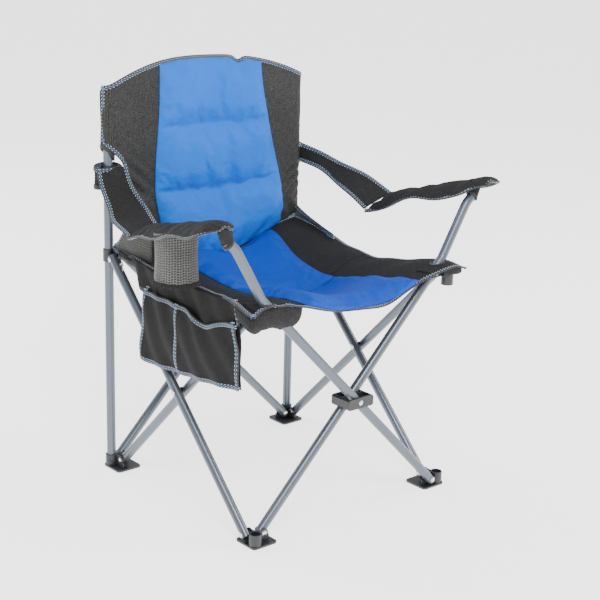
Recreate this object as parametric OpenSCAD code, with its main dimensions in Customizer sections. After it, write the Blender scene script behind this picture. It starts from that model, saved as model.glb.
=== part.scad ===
// Folding camp chair. A square frame of four crossed tube pairs folds towards one rear leg,
// like a bunch. Sitter faces -Y, sitter's left is +X, the floor is z = 0. Millimetres.

/* [Frame] */
// Distance between the leg axes, across and front to back
leg_pitch = 500; // [460:5:540]
// Height of the lower pivots above the floor
low_pivot_z = 20; // [19:1:26]
// Height of the upper pivots above the floor
high_pivot_z = 474; // [470:1:480]
// Distance from a leg axis to its pivots, along the face
pivot_inset = 26; // [25:1:30]
// Distance from the leg axes to the plane of the bracket ears
face_inset = 6; // [5:0.5:7]
// Height of the top of the rear posts
post_top_z = 815; // [780:5:840]

/* [Tubes] */
// Outer diameter of every frame tube
tube_d = 19; // [18.6:0.1:19]
// Wall of every frame tube
tube_wall = 1.2; // [0.9:0.1:1.5]
// Bare tube past a pivot
tube_overrun = 7; // [6:0.5:7]
// Front tubes: distance from the upper pivot to the first bend
first_bend_after = 36; // [30:1:40]
// Front tubes: turn of the first bend, towards the vertical
first_bend = 14; // [5:1:20]
// Front tubes: distance between the two bends
upper_leg = 125; // [110:1:130]
// Front tubes: turn of the second bend, outwards
second_bend = 22; // [10:1:30]
// Front tubes: distance from the second bend to the end
end_leg = 30; // [28:1:32]
// Radius of both bends
bend_r = 50; // [40:5:60]

/* [Brackets and rivets] */
// Thickness of a bracket ear
ear_t = 3.4; // [3:0.1:3.4]
// Side clearance between a tube and what it turns against
side_gap = 0.3; // [0.2:0.05:0.4]
// Radius of every rivet
rivet_r = 3; // [2.5:0.1:3.2]
// Radial clearance of a turning rivet
run_gap = 0.08; // [0.05:0.01:0.1]
// Radius of a rivet head
head_r = 5.5; // [5:0.1:6]
// Height of a rivet head
head_h = 2.2; // [1.5:0.1:2.4]
// Radius of the leg socket of a foot
socket_r = 9.6; // [9.6:0.05:9.8]
// Outer radius of the leg socket of a foot
boss_r = 12.4; // [12:0.1:12.5]
// Side of a foot's square base
foot_size = 60; // [56:1:62]
// Radius of a slider's bore
slider_r = 10; // [9.8:0.1:10.2]
// Length, width and height of the front hub
hub_size = [66, 52, 22]; // [20:1:80]

/* [Fabric] */
// Height of the seat's upper side at its corners
seat_z = 497; // [497:1:505]
// Sag of the seat's front and rear edges
seat_sag = 56; // [30:1:60]
// Further sag of the seat towards its centre
centre_sag = 20; // [10:1:30]
// How far the seat's left edge hangs below its right one
side_sag = 38; // [0:1:45]
// Thickness of the seat and back panels
panel_t = 5; // [3:0.5:6]
// Half of the seat's width
seat_half = 258; // [250:1:262]
// Height of the back's top edge above the posts, at its middle
back_crown = 63; // [40:1:80]
// Height where the back's sleeves start on the posts
sleeve_z = 690; // [660:5:720]
// Width of an arm pad at its front
arm_w = 118; // [100:1:125]
// Thickness of an arm pad
arm_t = 10; // [6:1:10]
// Inner radius of the cup holder
cup_r = 41; // [38:0.5:42]
// Height of the cup holder's bottom
cup_z = 506; // [500:1:520]
// Length of the side pocket, front to back
pocket_len = 304; // [260:2:310]
// Depth of the side pocket's cavities
pocket_gap = 12; // [8:1:14]

/* [Hidden] */

$fn = 48;
EPS = 0.01;

half = leg_pitch / 2;
tube_r = tube_d / 2;
bore_r = tube_r - tube_wall;
face_w = half - face_inset;
tube_w = tube_r + ear_t / 2 + side_gap;
outer_w = face_w + tube_w;
inner_w = face_w - tube_w;
pivot_u = half - pivot_inset;
rise = high_pivot_z - low_pivot_z;
tilt = atan2(rise, 2 * pivot_u);
span = sqrt(pow(rise, 2) + pow(2 * pivot_u, 2));
mid_z = (low_pivot_z + high_pivot_z) / 2;
plug_cap = 1.5;
// Keeps a cylinder's seam line clear of its cross holes
seam_turn = 45;
bend_steps = 5;
bar_sides = 24;
plug_stem = 3;
plug_r = bore_r - 0.2;
run_r = rivet_r + run_gap;

base_t = 4;
foot_h = 28;
foot_outer = 13;
foot_corner = 8;
ear_reach = 12;
ear_round = 9.5;
drain_r = 1.6;
bracket_h = 26;
slider_lift = 16;
corner_drop = 1.5;
ear_flat = 4.5;
ring_r = 12.5;
cap_t = 4;

hub_slot = [56, tube_d + 2 * side_gap];
hub_chamfer = 3;
// The hub's pin heads sit in its two faces
hub_pin_sink = 1;
hub_sink_h = 10;

// Ends of the front tubes, from the upper pivot, across and up
bend_1 = first_bend_after * [cos(tilt), sin(tilt)];
bend_2 = bend_1 + upper_leg * [cos(tilt + first_bend), sin(tilt + first_bend)];
end_tilt = tilt + first_bend - second_bend;
tube_end = bend_2 + end_leg * [cos(end_tilt), sin(end_tilt)];
arm_end_u = pivot_u + tube_end[0];
arm_end_z = high_pivot_z + tube_end[1];

// Fabric
seat_mid_gap = 1;
seat_back_y = 230.4;
seat_front_y = 262;
seat_back_bow = 13;
seat_deep_x = 30;
back_half = 235;
back_y = 231;
back_foot_z = 442;
back_side_rise = 63;
back_forward = 12;
back_bow = 22;
back_bow_z = 600;
back_top_z = post_top_z + cap_t + 3;
sleeve_in = tube_r + 0.4;
sleeve_out = sleeve_in + 3;
eyelet_r = tube_r + 1.5;
strap_z = 642;
strap_h = 40;
strap_t = 3;
strap_x = half + 12;
pad_tip = [345, -262, 654];
crease_right = [285, 70, 566];
crease_left = [290, 5, 568];
crease_w = 86;
fold_gap = 4;
pad_round = 0.8;
pad_round_len = 0.22;
pocket_in = tube_r + 0.4;
pocket_out = pocket_in + 2;
pocket_l = 16;
cup_y = -75;
cup_wall = 2;
cup_hole_r = 40;
pocket_x = 268;
pocket_wall = 2;
pocket_y = -200;
pocket_front_z = 315;
pocket_drop = 24;
pocket_top_z = 439;
pocket_hang_z = 470;
pocket_split = 0.6;
gusset_x = 260;
gusset_t = 2;
gusset_y = 234;
gusset_rise = 48;
gusset_mid = [43, 14];
gusset_len = 104;

STEEL = [0.62, 0.65, 0.69];
PLASTIC = [0.07, 0.07, 0.08];
ZINC = [0.8, 0.8, 0.82];
CHARCOAL = [0.27, 0.28, 0.28];
BLUE = [0, 0.5, 0.85];
MESH = [0.35, 0.36, 0.36];

// ---------- placing ----------

// A face of the frame: x along it, y up, z outwards. 0 front, 1 left, 2 rear, 3 right.
module face(k) {
    rotate([0, 0, 90 * k]) rotate([90, 0, 0]) children();
}

// A corner of the frame, its inside towards +x and +y. 0 front right, then anticlockwise.
module corner(k) {
    rotate([0, 0, 90 * k]) translate([-half, -half, 0]) children();
}

// ---------- tubes ----------

function bend_cut(turn) = bend_r * tan(turn / 2);

// Stations [x, y, heading] round a bend that starts at s; side = 1 turns left
function arc(s, turn, side) = [for (k = [0 : bend_steps])
    let (a = turn * k / bend_steps, x = bend_r * sin(a), y = side * bend_r * (1 - cos(a)))
    [s[0] + x * cos(s[2]) - y * sin(s[2]), s[1] + x * sin(s[2]) + y * cos(s[2]), s[2] + side * a]];

function ahead(s, l) = [s[0] + l * cos(s[2]), s[1] + l * sin(s[2]), s[2]];

// Centre line of a front tube along +x from its lower end, made longer by more at each end
function front_line(more) = let (
    start = [-tube_overrun - more, 0, 0],
    a = arc(ahead([0, 0, 0], span + first_bend_after - bend_cut(first_bend)), first_bend, 1),
    leg = upper_leg - bend_cut(first_bend) - bend_cut(second_bend),
    b = arc(ahead(a[bend_steps], leg), second_bend, -1),
    end = ahead(b[bend_steps], end_leg - bend_cut(second_bend) - plug_cap + more)
) concat([start], a, b, [end]);

// Round bar of radius r along flat stations
module bar(r, line) {
    n = bar_sides;
    count = len(line);
    points = [for (s = line) for (i = [0 : n - 1]) let (c = r * cos(360 * i / n))
        [s[0] - c * sin(s[2]), s[1] + c * cos(s[2]), r * sin(360 * i / n)]];
    faces = concat(
        [[for (i = [0 : n - 1]) i]],
        [for (k = [0 : count - 2]) for (i = [0 : n - 1]) let (a = k * n + i, b = k * n + (i + 1) % n)
            [a, a + n, b + n, b]],
        [[for (i = [0 : n - 1]) (count - 1) * n + n - 1 - i]]
    );
    polyhedron(points = points, faces = faces);
}

// Solid of a tube's outside or bore along +x, longer by more at each end
module tube_solid(bent, r, more) {
    if (bent) {
        bar(r, front_line(more));
    } else {
        translate([-tube_overrun - more, 0, 0]) rotate([0, 90, 0]) rotate([0, 0, seam_turn])
            cylinder(r = r, h = span + 2 * (tube_overrun + more));
    }
}

// Tube of the inner kind, low at -x and high at +x; holes = radii at low, middle, high
module tube(bent, holes) {
    color(STEEL) difference() {
        translate([-pivot_u, low_pivot_z, 0]) rotate([0, 0, tilt]) difference() {
            tube_solid(bent, tube_r, 0);
            tube_solid(bent, bore_r, 1);
        }
        for (i = [0 : 2]) {
            translate([pivot_u * (i - 1), low_pivot_z + rise * i / 2, -tube_d])
                cylinder(r = holes[i], h = 2 * tube_d);
        }
    }
}

module plug() {
    rotate([0, 90, 0]) {
        cylinder(r = tube_r, h = plug_cap);
        translate([0, 0, -plug_stem]) cylinder(r = plug_r, h = plug_stem + EPS);
    }
}

// Plugs of one tube, at its low and high ends
module plugs(bent) {
    color(PLASTIC) {
        translate([-pivot_u, low_pivot_z, 0]) rotate([0, 0, tilt + 180])
            translate([tube_overrun, 0, 0]) plug();
        if (bent) {
            translate([arm_end_u, arm_end_z, 0]) rotate([0, 0, end_tilt])
                translate([-plug_cap, 0, 0]) plug();
        } else {
            translate([pivot_u, high_pivot_z, 0]) rotate([0, 0, tilt])
                translate([tube_overrun, 0, 0]) plug();
        }
    }
}

// Inner tubes rise towards +x of their face, outer tubes towards -x
module inner_place(k) {
    face(k) translate([0, 0, inner_w]) children();
}

module outer_place(k) {
    face(k) translate([0, 0, outer_w]) mirror([1, 0, 0]) children();
}

module side_inner(k) {
    inner_place(k) tube(false, [run_r, rivet_r, run_r]);
}

module side_outer(k) {
    outer_place(k) tube(false, [run_r, run_r, run_r]);
}

module front_tube_inner() {
    inner_place(0) tube(true, [run_r, run_r, run_r]);
}

module front_tube_outer() {
    outer_place(0) tube(true, [run_r, run_r, run_r]);
}

// ---------- rivets ----------

// Rivet along +z from z = 0 to z = l, a domed head past each end
module rivet(l) {
    color(ZINC) {
        cylinder(r = rivet_r, h = l);
        translate([0, 0, l - EPS]) head();
        mirror([0, 0, 1]) translate([0, 0, -EPS]) head();
    }
}

module head() {
    rim = 0.8;
    crown_r = (pow(head_r, 2) + pow(head_h - rim, 2)) / (2 * (head_h - rim));
    cylinder(r = head_r, h = rim);
    translate([0, 0, rim - EPS]) intersection() {
        cylinder(r = head_r, h = head_h);
        translate([0, 0, head_h - rim - crown_r]) sphere(r = crown_r);
    }
}

// Rivet that holds a tube against a bracket's ear; w is the tube's side, out = 1 or in = -1
module ear_rivet(out) {
    reach = ear_t + 2 * side_gap + tube_d;
    if (out > 0) {
        translate([0, 0, -ear_t / 2]) rivet(reach);
    } else {
        translate([0, 0, ear_t / 2]) mirror([0, 0, 1]) rivet(reach);
    }
}

// The two rivets of a foot or bracket: x_out = 1 if the tube beside its +x ear is outside it
module corner_rivets(k, z, x_out) {
    corner(k) {
        translate([pivot_inset, face_inset, z]) rotate([90, 0, 0]) ear_rivet(x_out);
        translate([face_inset, pivot_inset, z]) rotate([0, -90, 0]) ear_rivet(-x_out);
    }
}

// Rivet through the crossing of two tubes, fixed in the inner one
module cross_rivet(k) {
    face(k) translate([0, mid_z, inner_w - tube_r])
        rivet(2 * tube_w + 2 * tube_r + side_gap);
}

// Washer between the two tubes of a crossing
module spacer(k) {
    color(PLASTIC) face(k) translate([0, mid_z, inner_w + tube_r]) difference() {
        cylinder(r = tube_r - 2, h = ear_t + side_gap);
        translate([0, 0, -1]) cylinder(r = run_r, h = ear_t + 3);
    }
}

// ---------- feet and brackets ----------

// Ear in the xz plane: reaches from the corner to the pivot, rounded round it
module ear(bottom, top, z) {
    translate([0, face_inset + ear_t / 2, 0]) rotate([90, 0, 0]) difference() {
        linear_extrude(ear_t) union() {
            translate([0, bottom]) square([pivot_inset, top - bottom]);
            translate([pivot_inset, z]) circle(r = ear_round);
            translate([pivot_inset - EPS, bottom]) square([ear_reach, z - bottom - ear_round / 2]);
        }
        translate([pivot_inset, z, -1]) cylinder(r = rivet_r, h = ear_t + 2);
    }
}

module ear_pair(bottom, top, z) {
    ear(bottom, top, z);
    mirror([1, -1, 0]) ear(bottom, top, z);
}

module foot(k) {
    span_xy = foot_size - foot_outer;
    color(PLASTIC) corner(k) difference() {
        union() {
            linear_extrude(base_t) hull() {
                for (x = [-foot_outer + foot_corner, span_xy - foot_corner]) {
                    for (y = [-foot_outer + foot_corner, span_xy - foot_corner]) {
                        translate([x, y]) circle(r = foot_corner, $fn = 32);
                    }
                }
            }
            cylinder(r = boss_r, h = foot_h);
            ear_pair(base_t - EPS, foot_h, low_pivot_z);
        }
        translate([0, 0, base_t]) cylinder(r = socket_r, h = foot_h);
        translate([0, 0, foot_h / 2 + base_t / 2]) rotate([90, 0, 45])
            cylinder(r = drain_r, h = boss_r + 5);
    }
}

// Bracket of an upper corner: two ears on a ring; ring_top is above the pivots
module bracket(k, ring_top) {
    low = high_pivot_z - ear_round;
    top = high_pivot_z + ring_top;
    color(PLASTIC) corner(k) difference() {
        union() {
            translate([0, 0, top - bracket_h]) cylinder(r = ring_r, h = bracket_h);
            ear_pair(low, min(top, high_pivot_z + ear_round), high_pivot_z);
        }
        translate([0, 0, top - bracket_h - 1]) cylinder(r = slider_r, h = bracket_h + ear_round * 2);
    }
}

module slider(k) {
    bracket(k, slider_lift);
}

// Bracket of a front corner, its ears flat on top to clear the arm tubes
module corner_bracket(k) {
    difference() {
        bracket(k, -corner_drop);
        corner(k) translate([-leg_pitch, -leg_pitch, high_pivot_z + ear_flat])
            cube([2 * leg_pitch, 2 * leg_pitch, bracket_h]);
    }
}

// ---------- posts ----------

module post(k) {
    color(STEEL) corner(k) translate([0, 0, base_t]) difference() {
        cylinder(r = tube_r, h = post_top_z - base_t);
        translate([0, 0, -1]) cylinder(r = bore_r, h = post_top_z);
    }
}

module post_cap(k) {
    color(PLASTIC) corner(k) translate([0, 0, post_top_z]) {
        cylinder(r = tube_r, h = cap_t / 2);
        translate([0, 0, cap_t / 2 - EPS]) cylinder(r1 = tube_r, r2 = tube_r - 2, h = cap_t / 2);
        translate([0, 0, -plug_stem * 2]) cylinder(r = plug_r, h = plug_stem * 2 + EPS);
    }
}

// ---------- hub ----------

// Chamfered outline of the hub, looking along its pin
module hub_block() {
    c = hub_chamfer;
    w = hub_size[0] / 2;
    h = hub_size[2] / 2;
    corners = [[w, h - c], [w - c, h], [c - w, h], [-w, h - c],
        [-w, c - h], [c - w, -h], [w - c, -h], [w, c - h]];
    translate([0, 0, -hub_size[1] / 2]) linear_extrude(hub_size[1]) polygon(corners);
}

module hub() {
    color(PLASTIC) face(0) translate([0, mid_z, face_w]) difference() {
        hub_block();
        for (w = [-tube_w, tube_w]) {
            translate([-hub_slot[0] / 2, -hub_size[2], w - hub_slot[1] / 2])
                cube([hub_slot[0], 2 * hub_size[2], hub_slot[1]]);
        }
        translate([0, 0, -hub_size[1]]) cylinder(r = rivet_r, h = 2 * hub_size[1]);
        for (s = [-1, 1]) {
            translate([0, 0, s * (hub_size[1] / 2 + hub_sink_h / 2 - hub_pin_sink)])
                cylinder(r = head_r + 1, h = hub_sink_h, center = true);
        }
    }
}

module hub_pin() {
    l = hub_size[1] - 2 * hub_pin_sink;
    face(0) translate([0, mid_z, face_w - l / 2]) rivet(l);
}

// ---------- fabric ----------

// Closed solid between two surfaces f(u, v) and g(u, v), u and v from 0 to 1
module slab(f, g, nu, nv) {
    row = nv + 1;
    n = (nu + 1) * row;
    top = [for (i = [0 : nu]) for (j = [0 : nv]) f(i / nu, j / nv)];
    low = [for (i = [0 : nu]) for (j = [0 : nv]) g(i / nu, j / nv)];
    quads = [for (i = [0 : nu - 1]) for (j = [0 : nv - 1]) i * row + j];
    sides_u = [for (i = [0 : nu - 1]) i * row];
    sides_v = [for (j = [0 : nv - 1]) j];
    far_u = nu * row;
    faces = concat(
        [for (a = quads) [a, a + 1, a + row + 1]],
        [for (a = quads) [a, a + row + 1, a + row]],
        [for (a = quads) [n + a, n + a + row + 1, n + a + 1]],
        [for (a = quads) [n + a, n + a + row, n + a + row + 1]],
        [for (a = sides_u) [a, a + row, n + a + row]],
        [for (a = sides_u) [a, n + a + row, n + a]],
        [for (a = sides_u) [a + nv, n + a + nv + row, a + nv + row]],
        [for (a = sides_u) [a + nv, n + a + nv, n + a + nv + row]],
        [for (a = sides_v) [a, n + a + 1, a + 1]],
        [for (a = sides_v) [a, n + a, n + a + 1]],
        [for (a = sides_v) [far_u + a, far_u + a + 1, far_u + n + a + 1]],
        [for (a = sides_v) [far_u + a, far_u + n + a + 1, far_u + n + a]]
    );
    polyhedron(points = concat(top, low), faces = faces);
}

function hang(t) = pow(cos(90 * t), 2);

// How far x is from the seat's deepest line towards an edge, -1 to 1
function seat_across(x) = (x - seat_deep_x) / (x < seat_deep_x ? seat_half + seat_deep_x : seat_half - seat_deep_x);

function seat_top(x, y) = seat_z - seat_sag * hang(seat_across(x))
    - hang(y / seat_front_y) * (centre_sag * hang(seat_across(x)) + side_sag * (0.5 + x / seat_half / 2));

// Half of the seat, from its free edge to the seam across the middle
module seat_half_panel(y0, y1, bow) {
    function edge(u) = y0 - bow * hang(2 * u - 1);
    function at(u, v, drop) = let (x = seat_half * (2 * u - 1), y = edge(u) + v * (y1 - edge(u)))
        [x, y, seat_top(x, y) - drop];
    slab(function(u, v) at(u, v, 0), function(u, v) at(u, v, panel_t), 20, 6);
}

module seat_front() {
    color(BLUE) difference() {
        seat_half_panel(-seat_front_y, -seat_mid_gap, 0);
        for (s = [-1, 1]) {
            w = s < 0 ? outer_w : inner_w;
            translate([s * pivot_u, -w, high_pivot_z]) rotate([0, s * (90 - tilt), 0])
                cylinder(r = eyelet_r, h = 2 * first_bend_after);
        }
    }
}

module seat_rear() {
    color(BLUE) mirror([0, 1, 0])
        seat_half_panel(-seat_back_y, -seat_mid_gap, -seat_back_bow);
}

module back_rest() {
    function low_z(x) = back_foot_z + back_side_rise * pow(abs(x) / back_half, 2);
    function top_z(x) = back_top_z + (back_crown - back_top_z + post_top_z) * (1 - pow(abs(x) / back_half, 3));
    function ease(z) = min(1, max(0, (z - back_foot_z) / (back_bow_z - back_foot_z)));
    function bow(x, z) = hang(x / back_half) * ((back_bow + back_forward) * ease(z) - back_forward);
    function at(u, v, back) = let (x = back_half * (2 * u - 1), z = low_z(x) + v * (top_z(x) - low_z(x)))
        [x, back_y + back + bow(x, z), z];
    color(BLUE) slab(function(u, v) at(u, v, 0), function(u, v) at(u, v, panel_t), 18, 14);
}

// Closed sleeve of the back over a post
module back_sleeve(k) {
    color(CHARCOAL) corner(k) difference() {
        translate([0, 0, sleeve_z]) cylinder(r = sleeve_out, h = back_top_z - sleeve_z);
        translate([0, 0, sleeve_z - 1])
            cylinder(r = sleeve_in, h = post_top_z + cap_t + 1 + side_gap - sleeve_z);
    }
}

// Triangle of mesh between the back's side edge and the seat's; side = -1 right, 1 left
module gusset(side) {
    low = seat_z;
    outline = [[gusset_y, low], [gusset_y, low + gusset_rise],
        [gusset_y - gusset_mid[0], low + gusset_mid[1]], [gusset_y - gusset_len, low]];
    color(MESH) mirror([side < 0 ? 1 : 0, 0, 0]) translate([gusset_x, 0, 0])
        rotate([90, 0, 90]) linear_extrude(gusset_t) polygon(outline);
}

// Side band from a post down to the crease, for the sitter's left; crease = [x, y, z]
module arm_strap(crease) {
    start = half;
    function mid(u) = [strap_x + u * (crease[0] - strap_x),
        start + u * (crease[1] + fold_gap - start), strap_z + u * (crease[2] - strap_z)];
    function at(u, v, out) = mid(u) + [out, 0, strap_h * (v - 0.5)];
    color(CHARCOAL) difference() {
        union() {
            slab(function(u, v) at(u, v, -strap_t), function(u, v) at(u, v, 0), 6, 1);
            translate([half, half, strap_z - strap_h / 2]) cylinder(r = sleeve_out, h = strap_h);
        }
        translate([half, half, 0]) cylinder(r = sleeve_in, h = post_top_z);
    }
}

// Arm pad for the sitter's left, from its crease to its rounded tip
module arm_pad(crease) {
    from = crease - [0, fold_gap, 0];
    function wide(u) = (crease_w + u * (arm_w - crease_w)) * (u > pad_round ? sqrt(1 - pow((u - pad_round) / pad_round_len, 2)) : 1);
    function at(u, v, up) = from + u * (pad_tip - from)
        + [-(v - 0.5) * wide(u), 0, up * arm_t / 2];
    color(CHARCOAL) slab(function(u, v) at(u, v, 1), function(u, v) at(u, v, -1), 15, 4);
}

// Plane just under the right arm pad
module above_pad(crease, gap) {
    from = crease - [0, fold_gap, 0];
    slope = atan2(pad_tip[2] - from[2], from[1] - pad_tip[1]);
    translate([0, from[1], from[2]]) rotate([-slope, 0, 0]) translate([0, 0, -arm_t / 2 - gap])
        translate([-leg_pitch * 2, -leg_pitch, 0]) cube([leg_pitch * 4, leg_pitch * 2, leg_pitch]);
}

function cup_x(y) =
    crease_right[0] + (pad_tip[0] - crease_right[0]) * (y - crease_right[1]) / (pad_tip[1] - crease_right[1]);

module cup_place() {
    translate([-cup_x(cup_y), cup_y, 0]) children();
}

module arm_pad_right() {
    difference() {
        mirror([1, 0, 0]) arm_pad(crease_right);
        cup_place() cylinder(r = cup_hole_r, h = post_top_z);
    }
}

module cup_holder() {
    color(MESH) difference() {
        cup_place() translate([0, 0, cup_z]) difference() {
            cylinder(r = cup_r + cup_wall, h = leg_pitch / 3);
            translate([0, 0, cup_wall]) cylinder(r = cup_r, h = leg_pitch / 3);
        }
        above_pad(crease_right, side_gap * 2);
    }
}

// Fabric cup at the end of a front tube, under the arm pad, in the face of that tube
module arm_pocket() {
    color(CHARCOAL) translate([arm_end_u, arm_end_z, 0]) rotate([0, 0, end_tilt])
        rotate([0, 90, 0]) difference() {
            translate([0, 0, side_gap * 2 + pocket_wall - pocket_l])
                cylinder(r = pocket_out, h = pocket_l);
            translate([0, 0, -pocket_l * 2]) cylinder(r = pocket_in, h = pocket_l * 2 + side_gap * 2);
        }
}

// Hanging organiser with two open cavities, on the sitter's right
module side_pocket() {
    t = pocket_wall;
    depth = 2 * t + pocket_gap;
    function at(y) = pocket_front_z - pocket_drop * (y - pocket_y) / pocket_len;
    y1 = pocket_y + pocket_len;
    cut = pocket_y + pocket_len * pocket_split;
    color(CHARCOAL) translate([-pocket_x, 0, 0]) rotate([90, 0, -90]) difference() {
        linear_extrude(depth) polygon([[-pocket_y, at(pocket_y)], [-y1, at(y1)],
            [-y1, pocket_hang_z], [-pocket_y, pocket_hang_z]]);
        translate([0, 0, t]) linear_extrude(pocket_gap) polygon([
            [-pocket_y - t, at(pocket_y) + t], [-cut + t / 2, at(cut) + t],
            [-cut + t / 2, pocket_hang_z + 1], [-pocket_y - t, pocket_hang_z + 1]]);
        translate([0, 0, t]) linear_extrude(pocket_gap) polygon([
            [-cut - t / 2, at(cut) + t], [-y1 + t, at(y1) + t],
            [-y1 + t, pocket_hang_z + 1], [-cut - t / 2, pocket_hang_z + 1]]);
        translate([-y1 - 1, pocket_top_z, t]) cube([pocket_len + 2, pocket_len, depth]);
    }
}

// ---------- nodes ----------

foot(3);  // foot_rear_right
foot(2);  // foot_rear_left
foot(0);  // foot_front_right
foot(1);  // foot_front_left
corner_rivets(3, low_pivot_z, -1);  // rivets_foot_rear_right
corner_rivets(2, low_pivot_z, -1);  // rivets_foot_rear_left
corner_rivets(0, low_pivot_z, -1);  // rivets_foot_front_right
corner_rivets(1, low_pivot_z, -1);  // rivets_foot_front_left
post(3);  // post_right
post(2);  // post_left
post_cap(3);  // post_cap_right
post_cap(2);  // post_cap_left
slider(3);  // slider_right
slider(2);  // slider_left
corner_bracket(0);  // corner_bracket_right
corner_bracket(1);  // corner_bracket_left
corner_rivets(3, high_pivot_z, 1);  // rivets_slider_right
corner_rivets(2, high_pivot_z, 1);  // rivets_slider_left
corner_rivets(0, high_pivot_z, 1);  // rivets_corner_right
corner_rivets(1, high_pivot_z, 1);  // rivets_corner_left
front_tube_inner();
front_tube_outer();
side_inner(1);  // left_tube_inner
side_outer(1);  // left_tube_outer
side_inner(2);  // rear_tube_inner
side_outer(2);  // rear_tube_outer
side_inner(3);  // right_tube_inner
side_outer(3);  // right_tube_outer
inner_place(0) plugs(true);  // plugs_front_inner
outer_place(0) plugs(true);  // plugs_front_outer
inner_place(1) plugs(false);  // plugs_left_inner
outer_place(1) plugs(false);  // plugs_left_outer
inner_place(2) plugs(false);  // plugs_rear_inner
outer_place(2) plugs(false);  // plugs_rear_outer
inner_place(3) plugs(false);  // plugs_right_inner
outer_place(3) plugs(false);  // plugs_right_outer
cross_rivet(1);  // cross_rivet_left
cross_rivet(2);  // cross_rivet_rear
cross_rivet(3);  // cross_rivet_right
spacer(1);  // spacer_left
spacer(2);  // spacer_rear
spacer(3);  // spacer_right
hub();
hub_pin();
seat_front();
seat_rear();
back_rest();
back_sleeve(3);  // back_sleeve_right
back_sleeve(2);  // back_sleeve_left
gusset(-1);  // gusset_right
gusset(1);  // gusset_left
mirror([1, 0, 0]) arm_strap(crease_right);  // arm_strap_right
arm_strap(crease_left);  // arm_strap_left
outer_place(0) arm_pocket();  // arm_pocket_right
inner_place(0) arm_pocket();  // arm_pocket_left
arm_pad_right();
arm_pad(crease_left);  // arm_pad_left
cup_holder();
side_pocket();
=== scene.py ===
import math

import bpy
import numpy as np
from mathutils import Matrix, Vector


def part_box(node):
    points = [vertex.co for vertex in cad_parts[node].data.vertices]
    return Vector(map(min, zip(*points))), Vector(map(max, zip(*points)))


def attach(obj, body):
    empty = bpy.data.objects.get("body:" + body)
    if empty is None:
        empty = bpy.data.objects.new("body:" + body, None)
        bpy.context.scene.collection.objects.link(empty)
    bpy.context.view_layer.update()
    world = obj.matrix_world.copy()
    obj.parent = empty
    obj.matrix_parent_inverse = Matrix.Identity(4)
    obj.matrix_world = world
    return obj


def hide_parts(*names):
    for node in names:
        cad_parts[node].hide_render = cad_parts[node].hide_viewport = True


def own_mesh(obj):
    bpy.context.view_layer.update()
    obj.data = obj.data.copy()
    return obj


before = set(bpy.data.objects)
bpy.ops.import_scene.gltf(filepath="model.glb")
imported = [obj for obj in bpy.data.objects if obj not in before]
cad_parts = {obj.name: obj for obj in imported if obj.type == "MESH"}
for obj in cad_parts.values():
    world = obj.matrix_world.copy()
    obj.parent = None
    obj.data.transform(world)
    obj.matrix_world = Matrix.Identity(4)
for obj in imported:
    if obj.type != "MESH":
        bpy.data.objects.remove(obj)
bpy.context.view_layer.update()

# ---------- sizes shared by several pieces, in metres ----------

HALF = (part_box("post_left")[0].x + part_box("post_left")[1].x) / 2
RIGHT, LEFT = -1, 1
SLEEVE_R = 0.0135
SLEEVE_Z = 0.690
SLEEVE_TOP_Z = 0.8235
BACK_Y = 0.2315
BACK_SIDE = 0.236
BACK_OUT = 0.2640
SEAT_FRONT_Y = -0.264
SEAT_BACK_Y = 0.236
SEAT_HALF = 0.262
SEAT_SPLIT_Y = 0.0
SPLIT_GAP = 0.0012
SEAT_DEEP_X = 0.030  # where the seat hangs lowest
CLOTH_T = 0.0016
STRAP_T = 0.0028
PAD_GAP = 0.0008
TAPE_W = 0.009
TAPE_T = 0.0034
CUP_AXIS = Vector(((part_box("cup_holder")[0].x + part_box("cup_holder")[1].x) / 2,
                   (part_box("cup_holder")[0].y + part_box("cup_holder")[1].y) / 2, 0))
CUP_R = 0.0425
CUP_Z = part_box("cup_holder")[0].z
CUP_TOP_Z = 0.6045
CUP_SLOPE = 0.198
GUSSET_X = 0.246
POCKET_X = -0.2665
POCKET_REAR_Y, POCKET_FRONT_Y = 0.094, -0.210
TUBE_LEAN = (0.794, 0.608)  # outward and upward share of the armrest tubes' direction
STITCH_PITCH = 0.0070
STITCH_IN = 0.0042
STITCH_APART = 0.0024
EDGE_STEP = 0.01
NEAR = 0.002  # step for reading the slope of a cloth
BEAD_RINGS = ((-0.5, 0.35), (-0.28, 1.0), (0.28, 1.0), (0.5, 0.35))
BEAD_FLAT = 0.6
FOLD_KEEP = 0.251  # share of the width between the legs that is left in the folded chair
SIM_FRAMES = 20
RANDOM = np.random.default_rng(11)


# ---------- small maths ----------

def point(x, y, z):
    """Points from three arrays or numbers, as one array."""
    x, y, z = np.broadcast_arrays(x, y, z)
    return np.stack([x, y, z], axis=-1).astype(float)


def mix(a, b, t):
    return a + (b - a) * t


def ease(t):
    t = np.clip(t, 0, 1)
    return t * t * (3 - 2 * t)


def bell(t, centre, width):
    return np.exp(-((t - centre) / width) ** 2)


def hang(t):
    """1 in the middle of a hanging cloth and 0 at its two ends, t = -1 to 1."""
    return np.cos(np.pi / 2 * np.clip(t, -1, 1)) ** 2


def unit(v):
    return v / np.maximum(np.linalg.norm(v, axis=-1, keepdims=True), 1e-12)


def line_through(points, n):
    """n points evenly along a smooth line through a few."""
    p = np.array(points, float)
    t = np.arange(len(p))
    s = np.linspace(0, len(p) - 1, n)
    out = np.zeros((n, 3))
    for k in range(3):
        slope = np.gradient(p[:, k])
        i = np.minimum(s.astype(int), len(p) - 2)
        f = s - t[i]
        out[:, k] = (p[i, k] * (1 + 2 * f) * (1 - f) ** 2 + slope[i] * f * (1 - f) ** 2
                     + p[i + 1, k] * f * f * (3 - 2 * f) + slope[i + 1] * f * f * (f - 1))
    return evenly(out, n)


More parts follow.
